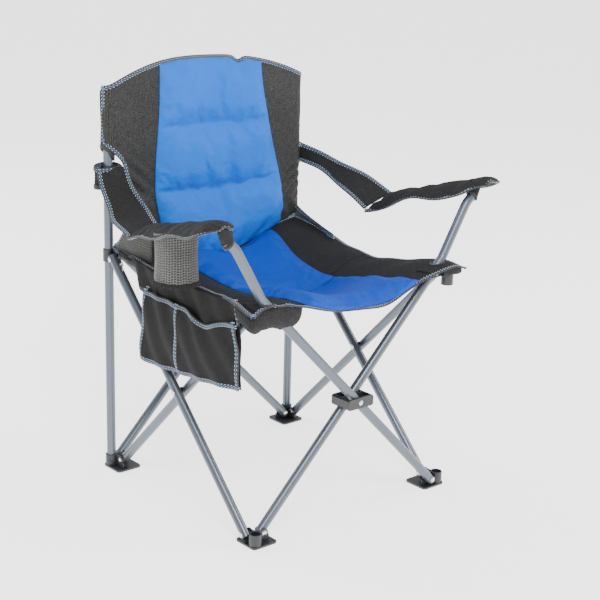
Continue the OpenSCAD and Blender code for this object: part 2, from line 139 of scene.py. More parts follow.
def evenly(path, n):
    steps = np.linalg.norm(np.diff(path, axis=0), axis=1)
    at = np.concatenate([[0], np.cumsum(steps)])
    want = np.linspace(0, at[-1], n)
    return np.stack([np.interp(want, at, path[:, k]) for k in range(3)], axis=1)


def length_of(path):
    return float(np.linalg.norm(np.diff(path, axis=0), axis=1).sum())


# ---------- meshes ----------

def new_object(name, points, faces, materials, flat=None, face_slots=None):
    mesh = bpy.data.meshes.new(name)
    mesh.from_pydata(np.asarray(points, float).tolist(), [], faces)
    for material in materials:
        mesh.materials.append(material)
    if face_slots is not None:
        mesh.polygons.foreach_set("material_index", np.asarray(face_slots, np.int32))
    attribute = mesh.attributes.new("flat", "FLOAT_VECTOR", "POINT")
    values = np.asarray(points if flat is None else flat, np.float32)
    attribute.data.foreach_set("vector", values.ravel())
    mesh.polygons.foreach_set("use_smooth", np.ones(len(mesh.polygons), bool))
    mesh.update()
    made = bpy.data.objects.new(name, mesh)
    bpy.context.scene.collection.objects.link(made)
    return made


def grid_faces(nu, nv, start=0, flip=False, closed=False):
    faces = []
    for i in range(nu if closed else nu - 1):
        for j in range(nv - 1):
            a = start + i * nv + j
            b = start + ((i + 1) % nu) * nv + j
            quad = (a, b, b + 1, a + 1)
            faces.append(quad[::-1] if flip else quad)
    return faces


def grid_normals(p):
    du = np.gradient(p, axis=0)
    dv = np.gradient(p, axis=1)
    return unit(np.cross(du, dv))


def rim_of(nu, nv):
    """Points on the outer edge of a grid, once around."""
    rim = [i * nv for i in range(nu)] + [(nu - 1) * nv + j for j in range(1, nv)]
    rim += [i * nv + nv - 1 for i in range(nu - 2, -1, -1)]
    return rim + list(range(nv - 2, 0, -1))


def slab_faces(nu, nv):
    """Faces of two grids, one under the other, and of the rim that joins them."""
    under = nu * nv
    faces = grid_faces(nu, nv) + grid_faces(nu, nv, under, True)
    rim = rim_of(nu, nv)
    for k, a in enumerate(rim):
        b = rim[(k + 1) % len(rim)]
        faces.append((b, a, a + under, b + under))
    return faces


def cloth(name, place, nu, nv, size, material, thick=CLOTH_T):
    """A panel with two faces and a rim; place(u, v) gives its middle, size is its flat width and length."""
    u, v = np.meshgrid(np.linspace(0, 1, nu), np.linspace(0, 1, nv), indexing="ij")
    p = place(u, v)
    n = grid_normals(p)
    flat = point(u * size[0], v * size[1], 0)
    two = np.concatenate([(p + n * thick / 2).reshape(-1, 3), (p - n * thick / 2).reshape(-1, 3)])
    return new_object(name, two, slab_faces(nu, nv), [material], np.concatenate([flat.reshape(-1, 3)] * 2))


def tube_cloth(name, place, nu, nv, size, material, thick=CLOTH_T):
    """A closed tube of cloth; place(u, v) gives its middle, u once around."""
    u, v = np.meshgrid(np.arange(nu) / nu, np.linspace(0, 1, nv), indexing="ij")
    p = place(u, v)
    du = np.roll(p, -1, axis=0) - np.roll(p, 1, axis=0)
    n = unit(np.cross(du, np.gradient(p, axis=1)))
    flat = point(u * size[0], v * size[1], 0)
    two = np.concatenate([(p + n * thick / 2).reshape(-1, 3), (p - n * thick / 2).reshape(-1, 3)])
    faces = grid_faces(nu, nv, closed=True) + grid_faces(nu, nv, nu * nv, True, True)
    for i in range(nu):
        for j in (0, nv - 1):
            a, b = i * nv + j, ((i + 1) % nu) * nv + j
            quad = (a, b, b + nu * nv, a + nu * nv)
            faces.append(quad[::-1] if j == 0 else quad)
    return new_object(name, two, faces, [material], np.concatenate([flat.reshape(-1, 3)] * 2))


def sweep(name, path, inward, normal, profile, material):
    """A closed profile of (inward, normal) offsets carried along a path."""
    n, m = len(path), len(profile)
    rows = [path + inward * s + normal * t for s, t in profile]
    p = np.stack(rows, axis=1)
    along = np.concatenate([[0], np.cumsum(np.linalg.norm(np.diff(path, axis=0), axis=1))])
    around = np.concatenate([[0], np.cumsum(np.linalg.norm(np.diff(profile, axis=0), axis=1))])
    flat = point(along[:, None], around[None, :], 0)
    faces = []
    for i in range(n - 1):
        for j in range(m):
            a, b = i * m + j, i * m + (j + 1) % m
            faces.append((a, b, b + m, a + m))
    faces.append(tuple(range(m))[::-1])
    faces.append(tuple((n - 1) * m + j for j in range(m)))
    return new_object(name, p.reshape(-1, 3), faces, [material], flat.reshape(-1, 3))


def edge_frame(place, side, n, start=0.0, end=1.0):
    """Path, direction into the cloth and cloth normal along a panel's edge: side is u0, u1, v0 or v1."""
    t = np.linspace(start, end, n * 4)
    fixed = np.full_like(t, float(side[1]))
    inside = fixed + EDGE_STEP * (1 - 2 * fixed)
    if side[0] == "u":
        path, inner = place(fixed, t), place(inside, t)
    else:
        path, inner = place(t, fixed), place(t, inside)
    at = np.concatenate([[0], np.cumsum(np.linalg.norm(np.diff(path, axis=0), axis=1))])
    want = np.linspace(0, at[-1], n)
    deeper = np.stack([np.interp(want, at, inner[:, k]) for k in range(3)], axis=1)
    path = evenly(path, n)
    return frame_on(path, deeper - path)


def frame_on(path, into):
    along = unit(np.gradient(path, axis=0))
    into = unit(into - along * (into * along).sum(-1, keepdims=True))
    return path, into, unit(np.cross(along, into))


TAPE_SHOULDER = TAPE_T / 2 - 0.0002
TAPE_END = TAPE_W - 0.0012
TAPE = [(-0.0012, -0.0010), (-0.0012, 0.0010), (0.0006, TAPE_T / 2), (TAPE_W - 0.002, TAPE_SHOULDER),
        (TAPE_END, 0.0011), (TAPE_END, -0.0011), (TAPE_W - 0.002, -TAPE_SHOULDER), (0.0006, -TAPE_T / 2)]
STRIP = [(-0.005, 0.0008), (-0.0045, 0.0018), (0.0045, 0.0018), (0.005, 0.0008), (0.0, 0.0004)]
RING_HEM = [(-0.0015, -0.0012), (-0.0015, 0.0012), (0.002, 0.0014), (0.003, -0.0012)]
TIE = [(-0.0020, -0.0005), (-0.0020, 0.0005), (0.0020, 0.0005), (0.0020, -0.0005)]


def dash(count=5):
    """Unit stitch along x, as points and faces: a short rounded bead."""
    points, faces = [], []
    for x, r in BEAD_RINGS:
        for k in range(count):
            a = 2 * math.pi * k / count
            points.append((x, r * math.cos(a), r * math.sin(a)))
    for i in range(len(BEAD_RINGS) - 1):
        for k in range(count):
            a, b = i * count + k, i * count + (k + 1) % count
            faces.append((a, a + count, b + count, b))
    faces.append(tuple(range(count)))
    faces.append(tuple((len(BEAD_RINGS) - 1) * count + k for k in range(count))[::-1])
    return np.array(points, float), faces


def beads(rows):
    """Stitches for several rows of (centres, along, across, up, length, radius, slot)."""
    unit_points, unit_faces = dash()
    points, faces, slots = [], [], []
    total = 0
    for centres, along, across, up, length, radius, slot in rows:
        for c, a, s, n in zip(centres, along, across, up):
            size = np.array((length, radius, radius * BEAD_FLAT))
            points.append(c + (unit_points * size) @ np.array((a, s, n)))
            faces += [tuple(v + total for v in f) for f in unit_faces]
            slots += [slot] * len(unit_faces)
            total += len(unit_points)
    return np.concatenate(points), faces, slots


def stitches(name, path, into, normal, lift, both_sides=True, offset=STITCH_IN):
    """A blue chain with white stitches on each side of it, sewn beside an edge."""
    count = max(3, int(length_of(path) / STITCH_PITCH))
    at = np.linspace(0, len(path) - 1, count)
    i = np.arange(len(path))

    def pick(values):
        return np.stack([np.interp(at, i, values[:, k]) for k in range(3)], axis=1)

    p, s, n = pick(path), unit(pick(into)), unit(pick(normal))
    a = unit(np.gradient(p, axis=0))
    lean = unit(a + s * 0.5)
    half_way = a * STITCH_PITCH / 2
    rows = []
    for side in ((1, -1) if both_sides else (1,)):
        top = p + n * lift * side
        rows.append((top + s * offset, lean, s, n, STITCH_PITCH * 0.72, 0.0011, 0))
        for apart in (-STITCH_APART, STITCH_APART):
            rows.append((top + s * (offset + apart) + half_way, a, s, n, STITCH_PITCH * 0.42, 0.0008, 1))
    points, faces, slots = beads(rows)
    return new_object(name, points, faces, [THREAD_BLUE, THREAD_WHITE], None, slots)


def dress(pieces, follow):
    """Puts pieces on their body."""
    for piece in pieces:
        follow(piece)


def bound_edge(name, edge, follow, seams=True):
    """Binding tape around an edge, with its stitching, moving like the cloth it is on."""
    path, into, normal = edge
    made = [sweep(name + "_tape", path, into, normal, TAPE, TAPE_CLOTH)]
    if seams:
        made.append(stitches(name + "_stitching", path, into, normal, TAPE_T / 2))
    dress(made, follow)
    return made


def follower(body, squash=None):
    """Makes a function that puts a piece on a body; with a squash given, the piece also gets a mesh of its
    own.
    """
    def follow(piece):
        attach(piece, body)
        if squash:
            axis, anchor, keep = squash
            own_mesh(piece)
            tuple(axis)
            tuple(anchor)
    return follow


# ---------- materials ----------

class Shader:
    """A node material, built with short calls."""

    def __init__(self, name):
        self.material = bpy.data.materials.new(name)
        self.material.use_nodes = True
        self.tree = self.material.node_tree
        self.surface = self.tree.nodes["Principled BSDF"]

    def node(self, kind, inputs=None, **settings):
        made = self.tree.nodes.new(kind)
        for key, value in settings.items():
            setattr(made, key, value)
        for key, value in (inputs or {}).items():
            self.put(made.inputs[key], value)
        return made

    def put(self, socket, value):
        if isinstance(value, bpy.types.NodeSocket):
            self.tree.links.new(value, socket)
        else:
            socket.default_value = value

    def flat(self):
        return self.node("ShaderNodeAttribute", attribute_name="flat").outputs["Vector"]

    def object(self):
        return self.node("ShaderNodeTexCoord").outputs["Object"]

    def scaled(self, vector, scale):
        made = self.node("ShaderNodeMapping", {"Vector": vector})
        made.inputs["Scale"].default_value = scale
        return made.outputs["Vector"]

    def noise(self, vector, scale, detail=3.0, rough=0.5):
        made = self.node("ShaderNodeTexNoise", {"Vector": vector, "Scale": scale, "Detail": detail,
                                                "Roughness": rough})
        return made.outputs["Fac"]

    def math(self, operation, a, b=0.0, c=0.0):
        made = self.node("ShaderNodeMath", {0: a, 1: b, 2: c}, operation=operation)
        return made.outputs["Value"]

    def wave(self, value, pitch):
        """Height of a row of round threads."""
        return self.math("ABSOLUTE", self.math("SINE", self.math("MULTIPLY", value, math.pi / pitch)))

    def split(self, vector):
        made = self.node("ShaderNodeSeparateXYZ", {"Vector": vector})
        return made.outputs["X"], made.outputs["Y"]

    def ramp(self, value, low, high, a=0.0, b=1.0):
        made = self.node("ShaderNodeMapRange", {"Value": value, "From Min": low, "From Max": high,
                                                "To Min": a, "To Max": b})
        return made.outputs["Result"]

    def colour(self, factor, a, b):
        made = self.node("ShaderNodeMix", data_type="RGBA")
        self.put(made.inputs["Factor"], factor)
        self.put(made.inputs["A"], a if isinstance(a, bpy.types.NodeSocket) else (*a, 1.0))
        self.put(made.inputs["B"], b if isinstance(b, bpy.types.NodeSocket) else (*b, 1.0))
        return made.outputs["Result"]

    def bump(self, height, strength, distance, under=None):
        inputs = {"Height": height, "Strength": strength, "Distance": distance}
        if under is not None:
            inputs["Normal"] = under
        return self.node("ShaderNodeBump", inputs).outputs["Normal"]

    def finish(self, **inputs):
        for key, value in inputs.items():
            self.put(self.surface.inputs[key.replace("_", " ")], value)
        return self.material


def weave(sh, vector, pitch):
    """Height of a plain weave, and which of the two threads is on top."""
    x, y = sh.split(vector)
    sx = sh.math("SINE", sh.math("MULTIPLY", x, math.pi / pitch))
    sy = sh.math("SINE", sh.math("MULTIPLY", y, math.pi / pitch))
    product = sh.math("MULTIPLY", sx, sy)
    over = sh.math("GREATER_THAN", product, 0.0)
    ax, ay = sh.math("ABSOLUTE", sx), sh.math("ABSOLUTE", sy)
    height = sh.math("ADD", sh.math("MULTIPLY", ax, over),
                     sh.math("MULTIPLY", ay, sh.math("SUBTRACT", 1.0, over)))
    return height, over


def painted_tube():
    sh = Shader("tube_powder_coat")
    where = sh.object()
    grain = sh.noise(where, 900.0, 2.0)
    cloud = sh.noise(where, 14.0, 4.0)
    scuff = sh.noise(sh.scaled(where, (60.0, 60.0, 240.0)), 1.0, 6.0, 0.7)
    worn = sh.ramp(scuff, 0.62, 0.74)
    base = sh.colour(cloud, (0.100, 0.116, 0.140), (0.124, 0.140, 0.164))
    base = sh.colour(sh.math("MULTIPLY", worn, 0.25), base, (0.24, 0.26, 0.28))
    rough = sh.math("ADD", sh.ramp(cloud, 0.2, 0.8, 0.27, 0.36), sh.math("MULTIPLY", worn, 0.10))
    normal = sh.bump(sh.math("ADD", grain, sh.math("MULTIPLY", scuff, 0.4)), 0.10, 0.0004)
    return sh.finish(Base_Color=base, Metallic=0.62, Roughness=rough, Normal=normal)


def dark_plastic(name, shade):
    sh = Shader(name)
    where = sh.object()
    grain = sh.noise(where, 1400.0, 2.0)
    cloud = sh.noise(where, 45.0, 5.0, 0.6)
    base = sh.colour(sh.ramp(cloud, 0.35, 0.75), shade, tuple(c * 2.1 + 0.004 for c in shade))
    rough = sh.ramp(cloud, 0.3, 0.7, 0.38, 0.52)
    return sh.finish(Base_Color=base, Roughness=rough, Normal=sh.bump(grain, 0.22, 0.0003))


def bright_steel():
    sh = Shader("rivet_steel")
    where = sh.object()
    cloud = sh.noise(where, 300.0, 4.0, 0.6)
    base = sh.colour(cloud, (0.52, 0.53, 0.55), (0.72, 0.73, 0.75))
    rough = sh.ramp(cloud, 0.3, 0.7, 0.22, 0.40)
    return sh.finish(Base_Color=base, Metallic=1.0, Roughness=rough, Normal=sh.bump(cloud, 0.15, 0.0002))


def charcoal_cloth(name, pitch, dark, light, share):
    """Heathered polyester: streaks of lighter thread along both directions of a plain weave."""
    sh = Shader(name)
    where = sh.flat()
    height, over = weave(sh, where, pitch)
    along = sh.noise(sh.scaled(where, (70.0, 640.0, 1.0)), 1.0, 3.0, 0.6)
    across = sh.noise(sh.scaled(where, (640.0, 70.0, 1.0)), 1.0, 3.0, 0.6)
    cloud = sh.noise(where, 9.0, 4.0, 0.55)
    streak = sh.math("ADD", sh.math("MULTIPLY", along, over),
                     sh.math("MULTIPLY", across, sh.math("SUBTRACT", 1.0, over)))
    bright = sh.ramp(sh.math("ADD", streak, sh.math("MULTIPLY", cloud, 0.22)), 0.42, 0.80)
    seen = sh.math("MULTIPLY", sh.math("MULTIPLY", bright, share), height)
    base = sh.colour(seen, dark, light)
    fuzz = sh.noise(where, 1500.0, 2.0)
    bumps = sh.math("ADD", height, sh.math("MULTIPLY", fuzz, 0.4))
    soft = sh.bump(sh.noise(where, 28.0, 3.0), 0.25, 0.004)
    normal = sh.bump(bumps, 0.55, pitch * 0.28, soft)
    return sh.finish(Base_Color=base, Roughness=sh.ramp(cloud, 0.3, 0.7, 0.78, 0.92), Normal=normal,
                     Specular_IOR_Level=0.25)


def open_mesh(name, pitch_x, pitch_y, dark, light):
    """Knitted mesh: light threads of uneven width, with the openings between them painted dark as the shade
    seen through the holes.
    """
    sh = Shader(name)
    where = sh.flat()
    x, y = sh.split(where)
    wander = sh.math("MULTIPLY", sh.noise(where, 120.0, 2.0), 0.0022)
    sx = sh.wave(sh.math("ADD", x, wander), pitch_x)
    sy = sh.wave(sh.math("ADD", y, wander), pitch_y)
    thread = sh.math("MAXIMUM", sh.ramp(sx, 0.72, 0.95), sh.ramp(sy, 0.62, 0.90))
    lively = sh.ramp(sh.noise(sh.scaled(where, (260.0, 900.0, 1.0)), 1.0, 3.0, 0.7), 0.30, 0.72, 0.25, 1.0)
    cloud = sh.noise(where, 22.0, 3.0)
    seen = sh.math("MULTIPLY", sh.math("MULTIPLY", thread, lively), sh.ramp(cloud, 0.25, 0.75, 0.55, 1.0))
    # dark is painted shade: it fills the holes with the colour of the shaded space behind the mesh.
    base = sh.colour(seen, dark, light)
    normal = sh.bump(thread, 0.8, 0.0009)
    return sh.finish(Base_Color=base, Roughness=0.8, Normal=normal, Sheen_Weight=0.1)


def blue_cloth(name, shade, deep):
    """Tightly woven polyester cover: fine weave, faint crumple and a soft sheen."""
    sh = Shader(name)
    where = sh.flat()
    height, over = weave(sh, where, 0.0009)
    cloud = sh.noise(where, 7.0, 5.0, 0.55)
    base = sh.colour(sh.ramp(cloud, 0.25, 0.75), shade, deep)
    base = sh.colour(sh.math("MULTIPLY", over, 0.10), base, deep)
    crumple = sh.noise(sh.scaled(where, (22.0, 34.0, 1.0)), 1.0, 5.0, 0.6)
    soft = sh.bump(crumple, 0.55, 0.007)
    normal = sh.bump(height, 0.30, 0.0003, soft)
    return sh.finish(Base_Color=base, Roughness=sh.ramp(cloud, 0.3, 0.7, 0.62, 0.75), Normal=normal,
                     Specular_IOR_Level=0.22)


def tape_cloth():
    sh = Shader("binding_tape")
    where = sh.flat()
    x, _ = sh.split(where)
    rib = sh.wave(x, 0.0011)
    fuzz = sh.noise(where, 700.0, 3.0)
    base = sh.colour(sh.math("MULTIPLY", rib, fuzz), (0.010, 0.010, 0.012), (0.050, 0.050, 0.055))
    normal = sh.bump(sh.math("ADD", rib, fuzz), 0.5, 0.0004)
    return sh.finish(Base_Color=base, Roughness=0.8, Normal=normal, Sheen_Weight=0.1)


def thread(name, shade):
    sh = Shader(name)
    where = sh.object()
    twist = sh.noise(sh.scaled(where, (1800.0, 1800.0, 900.0)), 1.0, 2.0)
    base = sh.colour(twist, tuple(c * 0.75 for c in shade), shade)
    return sh.finish(Base_Color=base, Roughness=0.6, Normal=sh.bump(twist, 0.4, 0.0003), Sheen_Weight=0.2)


FLOOR_GLOW = 1.8


def pale_floor():
    sh = Shader("studio_floor")
    where = sh.object()
    cloud = sh.noise(where, 2.0, 4.0)
    base = sh.colour(cloud, (0.86, 0.86, 0.86), (0.90, 0.90, 0.90))
    normal = sh.bump(sh.noise(where, 90.0, 3.0), 0.05, 0.001)
    return sh.finish(Base_Color=base, Roughness=0.9, Normal=normal, Emission_Color=(1.0, 1.0, 1.0, 1.0),
                     Emission_Strength=FLOOR_GLOW)


TUBE_PAINT = painted_tube()
PLASTIC = dark_plastic("black_plastic", (0.012, 0.013, 0.016))
PLUG_PLASTIC = dark_plastic("plug_plastic", (0.018, 0.018, 0.020))
STEEL = bright_steel()
WEAVE_PITCH = 0.0030
CHARCOAL = charcoal_cloth("charcoal_fabric", WEAVE_PITCH, (0.005, 0.005, 0.0055),
                          (0.125, 0.125, 0.118), 0.70)
CHARCOAL_ARM = charcoal_cloth("charcoal_arm_fabric", WEAVE_PITCH, (0.004, 0.004, 0.0048),
                              (0.052, 0.052, 0.052), 0.70)
CHARCOAL_POCKET = charcoal_cloth("charcoal_pocket_fabric", WEAVE_PITCH, (0.0035, 0.0035, 0.0042),
                                 (0.034, 0.034, 0.036), 0.70)
CHARCOAL_SEAT = charcoal_cloth("charcoal_seat_fabric", 0.0022, (0.006, 0.006, 0.0065),
                               (0.060, 0.060, 0.058), 0.55)
MESH_CUP = open_mesh("cup_mesh", 0.0056, 0.0048, (0.002, 0.002, 0.0025), (0.200, 0.200, 0.188))
MESH_SIDE = open_mesh("side_mesh", 0.0046, 0.0046, (0.004, 0.004, 0.0045), (0.11, 0.11, 0.10))
# One blue cloth in two copies: the seat's copy is darker than the back's as painted shade, since the seat
# lies less lit.
BLUE_BACK = blue_cloth("padded_blue_back", (0.0, 0.145, 0.66), (0.0, 0.122, 0.58))
BLUE_SEAT_SHADED = blue_cloth("padded_blue_seat_shaded", (0.0, 0.060, 0.44), (0.0, 0.046, 0.38))
TAPE_CLOTH = tape_cloth()
THREAD_BLUE = thread("thread_blue", (0.01, 0.15, 0.42))
THREAD_WHITE = thread("thread_white", (0.58, 0.61, 0.62))
TIE_WHITE = thread("tie_white", (0.70, 0.70, 0.72))


FINISHES = ((("plugs", "post_cap"), PLUG_PLASTIC),
            (("rivets", "cross_rivet", "hub_pin"), STEEL),
            (("foot", "slider", "corner_bracket", "hub", "spacer"), PLASTIC),
            (("post", "front_tube", "left_tube", "rear_tube", "right_tube"), TUBE_PAINT))


def paint_frame():
    """Finishes for the CAD nodes that show as they are; the first that fits a name is used."""
    for name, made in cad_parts.items():
        for starts, material in FINISHES:
            if name.startswith(starts):
                made.data.materials.clear()
                made.data.materials.append(material)
                break


# ---------- shape of the back ----------

BACK_HALF = 0.262
BACK_CORNERS_Z = (0.830, 0.820)
BACK_CROWN = 0.052
NOTCH_X, NOTCH_W, NOTCH_DEEP = 0.084, 0.012, 0.009
BACK_LOW_Z = 0.444
BACK_LOW_RISE = 0.060
BACK_WAIST_RIGHT = 0.223
BACK_WAIST_LEFT = 0.2570
BACK_BOW = 0.034
BACK_LOW_BOW = 0.012
LUMBAR_Z, LUMBAR_W, LUMBAR_DEEP = 0.55, 0.08, 0.006
BOW_HALF = 0.250
WRAP_X = 0.2435
WRAP_DEEP = 0.0175


def back_top(x):
    across = x / BACK_HALF
    corner = mix(*BACK_CORNERS_Z, ease((across + 1) / 2))
    crown = BACK_CROWN * (1 - np.abs(np.clip(across, -1, 1)) ** 2.5)
    return corner + crown - NOTCH_DEEP * bell(x, NOTCH_X, NOTCH_W)


def back_low(x):
    return BACK_LOW_Z + BACK_LOW_RISE * np.clip(np.abs(x) / BACK_SIDE, 0, 1) ** 2


def back_edge(z, side):
    """How far out the side edge of the back is; it is drawn in below the sleeves."""
    if side == RIGHT:
        return -mix(BACK_WAIST_RIGHT, BACK_OUT, ease((z - 0.664) / 0.056))
    return mix(BACK_WAIST_LEFT, BACK_OUT, ease((z - 0.600) / 0.080)) + 0.005 * ease((0.57 - z) / 0.06)


def back_folds(x, z):
    """Loose folds where the straps pull, and slack along the sides."""
    right = bell(x, -0.195, 0.035) * bell(z, 0.625, 0.060)
    pull = 0.0050 * np.sin((x * 0.8 + (z - 0.62)) * 190) * right
    left = bell(x, 0.235, 0.025) * bell(z, 0.590, 0.050)
    pull = pull + 0.0045 * np.sin((x - 1.3 * (z - 0.6)) * 210) * left
    low = bell(np.abs(x), 0.215, 0.040) * bell(z, 0.515, 0.030)
    return pull + 0.0040 * np.sin(x * 160 + z * 90) * low + 0.0016 * np.sin(x * 23 + 4.0) * np.sin(z * 31)


def back_point(x, z):
    rise = np.clip((z - 0.442) / 0.158, 0, 1)
    sag = hang(x / BOW_HALF)
    bow = sag * (BACK_BOW * rise - BACK_LOW_BOW) + LUMBAR_DEEP * bell(z, LUMBAR_Z, LUMBAR_W) * sag
    wrap = WRAP_DEEP * np.clip((np.abs(x) - WRAP_X) / (BACK_OUT - WRAP_X), 0, 1) ** 2.2
    return point(x, BACK_Y + bow + back_folds(x, z) + wrap, z)


def back_at(u, v):
    """The whole back; u from the sitter's right to the left, v from the bottom up."""
    x = np.zeros_like(u * v)
    for _ in range(3):
        z = mix(back_low(x), back_top(x), v)
        x = mix(back_edge(z, RIGHT), back_edge(z, LEFT), u)
    return back_point(x, z)


def back_pad_point(s, t, h):
    """The blue middle of the back; s and t run over the pad and h lifts it from the cloth."""
    low_x = mix(-0.118, 0.196, s)
    z0 = mix(back_low(low_x), back_top(low_x), t)
    right = -0.139 + 0.013 * ease((z0 - 0.60) / 0.26) + 0.012 * ease((0.60 - z0) / 0.10)
    left = 0.206 - 0.062 * ease((z0 - 0.52) / 0.34) - 0.018 * ease((0.52 - z0) / 0.07)
    x = mix(right, left, s)
    z = mix(back_low(x) + 0.001, back_top(x) - 0.006, t)
    p = back_point(x, z)
    dx = back_point(x + NEAR, z) - back_point(x - NEAR, z)
    dz = back_point(x, z + NEAR) - back_point(x, z - NEAR)
    return p + unit(np.cross(dx, dz)) * (h[..., None] + CLOTH_T / 2 + PAD_GAP)


# ---------- shape of the seat ----------

SEAT_REAR_Z = 0.497
SEAT_CORNERS_Z = (0.488, 0.490)
SEAT_SIDES_SAG = (0.010, 0.041)
SEAT_SAG = 0.052
SEAT_MIDDLE_SAG = 0.022
TIP_DROP = 0.010
TIP_FLARE = (0.090, 0.062)


def seat_height(x, y):
    front = ease((0.20 - y) / 0.46)
    hy = hang(y / SEAT_HALF)
    right, left = [mix(SEAT_REAR_Z, corner, front) - sag * hy
                   for corner, sag in zip(SEAT_CORNERS_Z, SEAT_SIDES_SAG)]
    side = np.where(x < SEAT_DEEP_X, SEAT_HALF + SEAT_DEEP_X, SEAT_HALF - SEAT_DEEP_X)
    hx = hang((x - SEAT_DEEP_X) / side)
    edges = mix(right, left, (x / SEAT_HALF + 1) / 2)
    tip = TIP_DROP * ease((np.abs(x) - 0.245) / 0.045) * ease((-0.215 - y) / 0.055)
    return edges - SEAT_SAG * hx - SEAT_MIDDLE_SAG * hx * hy - tip + seat_folds(x, y)


def seat_folds(x, y):
    corner = 0.0030 * np.sin((x + y) * 150) * bell(x, -0.205, 0.05) * bell(y, -0.20, 0.06)
    slack = 0.0026 * np.sin(x * 34 - y * 25 + 1.0) * hang(x / 0.26)
    edge = 0.0035 * np.sin(y * 60) * bell(np.abs(x), 0.235, 0.03) * hang(y / 0.26)
    return corner + slack + edge


def seat_outline(u, v, y0, y1):
    across = 2 * u - 1
    y_front = SEAT_FRONT_Y - 0.012 * np.abs(across) ** 5 + 0.004 * np.sin(u * 19)
    y_rear = SEAT_BACK_Y + 0.010 * hang(across)
    a = y_front if y0 is None else np.full_like(u, y0)
    b = y_rear if y1 is None else np.full_like(u, y1)
    y = mix(a, b, v)
    narrow = 1 - 0.045 * ease((y - 0.10) / 0.14)
    flare = 1 + mix(*TIP_FLARE, u) * ease((-0.13 - y) / 0.13) * np.abs(across) ** 3
    return SEAT_HALF * across * narrow * flare, y


def seat_half_at(y0, y1):
    """The seat between two y; None is its own front or rear edge."""
    def place(u, v):
        x, y = seat_outline(u, v, y0, y1)
        return point(x, y, seat_height(x, y))
    return place


def seat_pad_point(y0, y1):
    """The blue middle of the seat; s and t run over the pad and h lifts it from the cloth."""
    def place(s, t, h):
        y = mix(y0, y1, t)
        middle, rear = ease((y + 0.26) / 0.30), ease((y - 0.10) / 0.12)
        right = mix(-0.139, -0.132, middle) - 0.010 * rear
        left = mix(0.160, 0.147, middle) + 0.020 * rear
        x = mix(right, left, s)
        y = np.maximum(y, SEAT_FRONT_Y + 0.004)
        dx = point(2 * NEAR, 0, seat_height(x + NEAR, y) - seat_height(x - NEAR, y))
        dy = point(0, 2 * NEAR, seat_height(x, y + NEAR) - seat_height(x, y - NEAR))
        up = unit(np.cross(dx, dy))
        return point(x, y, seat_height(x, y)) + up * (h[..., None] + CLOTH_T / 2 + PAD_GAP)
    return place


# ---------- pads puffed by the cloth solver ----------

PAD_RIM = 0.035
QUILT_RIM = 0.030
QUILT_LEFT = 0.18
PRESSURE = 4.0
MAX_SINK, MAX_RISE = 0.007, 0.010
LEAST_RISE = 0.0006


def round_over(gap, width):
    """0 at an edge and 1 from width inward, round like a quarter circle."""
    return np.sqrt(np.clip(1 - (1 - np.clip(gap / width, 0, 1)) ** 2, 0, 1))


def pad_profile(s, t, size, seams, height):
    """Thickness of an unstressed pad: full in its middle, none at its edges and small at quilt seams."""
    rim = np.minimum(np.minimum(s, 1 - s) * size[0], np.minimum(t, 1 - t) * size[1])
    full = round_over(rim, PAD_RIM)
    for seam in seams:
        full = full * mix(QUILT_LEFT, 1, round_over(np.abs(t - seam) * size[1], QUILT_RIM))
    return full * height


